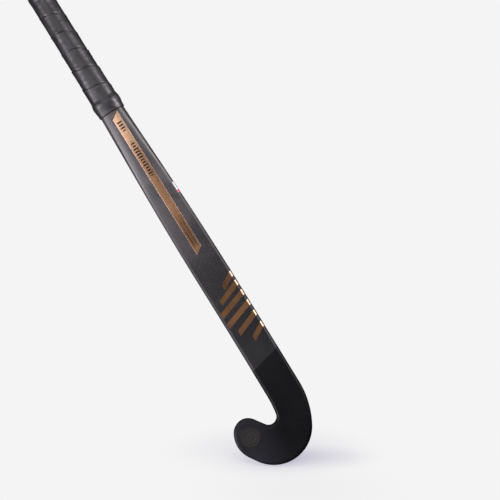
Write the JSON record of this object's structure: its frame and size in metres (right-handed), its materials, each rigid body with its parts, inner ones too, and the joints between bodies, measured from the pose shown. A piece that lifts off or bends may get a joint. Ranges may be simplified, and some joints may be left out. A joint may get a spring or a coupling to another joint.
{
  "type": "field hockey stick",
  "caption": "Field hockey stick with a hooked flat-faced head, bowed composite shaft, wound cushioned grip and butt cap.",
  "frame": {"origin": "centre of the butt end, on the axis of the straight handle", "axes": "+Z along the handle and out of the butt end, so the head hangs at the lowest Z; the flat playing face looks to -Y and slightly up, the rounded back to +Y; the toe of the hook points to -X and the heel edge is at +X"},
  "size_m": [0.1166, 0.0597, 0.924],
  "materials": {
    "laminate": "satin lacquer over carbon fibre, chopped-fibre marbling on the back",
    "inner_laminate": "bare woven carbon and glass laminate",
    "damping_foam": "light closed-cell foam",
    "core_foam": "rigid closed-cell foam",
    "plug_plastic": "moulded plastic",
    "cap_rubber": "matt moulded rubber",
    "grip_liner": "adhesive liner",
    "grip_tape": "soft cushioned polyurethane",
    "band_tape": "stretched satin tape",
    "touch_film": "fine matt abrasive coating",
    "dark_badge": "tone-on-tone dark bronze print",
    "copper_foil": "satin copper-coloured foil",
    "strip_film": "smooth dark film",
    "label_white": "printed label",
    "label_red": "printed label"
  },
  "bodies": {
    "root": {"laminate_shell": "laminate", "tube_toe_side": "inner_laminate", "tube_heel_side": "inner_laminate", "foam_toe_side": "damping_foam", "foam_heel_side": "damping_foam", "head_core": "core_foam", "butt_plug": "plug_plastic", "butt_cap": "cap_rubber", "grip_adhesive": "grip_liner", "grip_tape": "grip_tape", "grip_end_tape": "band_tape", "touch_film": "touch_film", "face_toe_disc": "dark_badge", "face_foil_band": "copper_foil", "face_foil_stripes": "copper_foil", "back_centre_strip": "strip_film", "back_foil_band": "copper_foil", "back_lozenges": "copper_foil", "back_spec_bars": "copper_foil", "back_toe_badge": "copper_foil", "edge_label": "label_white", "edge_label_tab": "label_red"}
  },
  "joints": []
}
